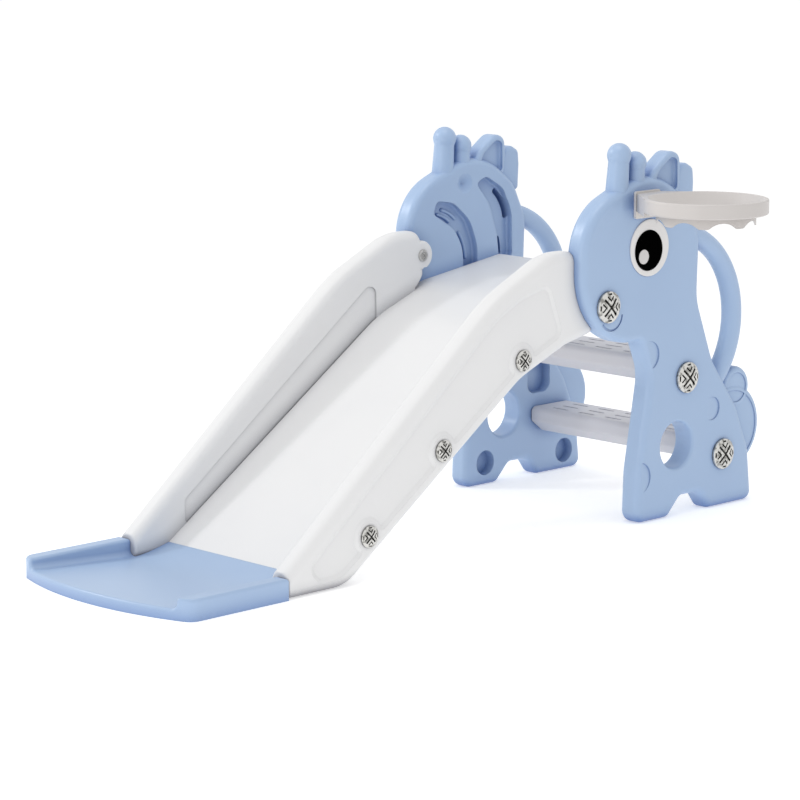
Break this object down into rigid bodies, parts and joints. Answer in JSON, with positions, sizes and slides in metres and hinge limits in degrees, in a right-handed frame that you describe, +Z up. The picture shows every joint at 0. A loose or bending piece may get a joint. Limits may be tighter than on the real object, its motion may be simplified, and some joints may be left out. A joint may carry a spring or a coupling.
{
  "type": "toddler slide",
  "caption": "Plastic toddler slide with animal-shaped side panels, grab handles, steps, a railed chute, a landing tray and a lift-off ball hoop.",
  "frame": {"origin": "on the floor, under the middle of the whole slide's bounding box", "axes": "+Z up; +X from the landing tray to the steps, along the slide's length; the hoop is on the -Y side"},
  "size_m": [1.632, 0.846, 0.7939],
  "materials": {
    "blue_plastic": "satin pastel blue polyethylene",
    "white_plastic": "satin white polyethylene",
    "step_plastic": "satin light grey polyethylene",
    "hoop_plastic": "satin warm light grey plastic",
    "bolt_plastic": "semi-gloss silvery grey plastic",
    "screw_plastic": "satin off-white plastic",
    "eye_white": "gloss white label",
    "eye_black": "gloss black label",
    "eye_glint": "gloss light grey label"
  },
  "bodies": {
    "slide": {"hoop_bracket": "hoop_plastic", "hoop_bracket_bolt": "screw_plastic", "landing_screws": "screw_plastic", "landing_tray": "blue_plastic", "left_eye_glint": "eye_glint", "left_eye_plate": "eye_white", "left_eye_pupil": "eye_black", "left_guard_rail": "white_plastic", "left_lug_screw": "screw_plastic", "left_panel_bolts": "bolt_plastic", "left_rail_bolts": "bolt_plastic", "left_side_panel": "blue_plastic", "lower_step": "step_plastic", "right_eye_glint": "eye_glint", "right_eye_plate": "eye_white", "right_eye_pupil": "eye_black", "right_guard_rail": "white_plastic", "right_lug_screw": "screw_plastic", "right_panel_bolts": "bolt_plastic", "right_rail_bolts": "bolt_plastic", "right_side_panel": "blue_plastic", "slide_bed": "white_plastic", "upper_step": "step_plastic"},
    "hoop": {"hoop_ring": "hoop_plastic"}
  },
  "joints": [
    {"name": "hoop_lift", "type": "slide", "parent": "slide", "child": "hoop", "axis": [0, 0, 1], "range_m": [0, 0.035]}
  ]
}
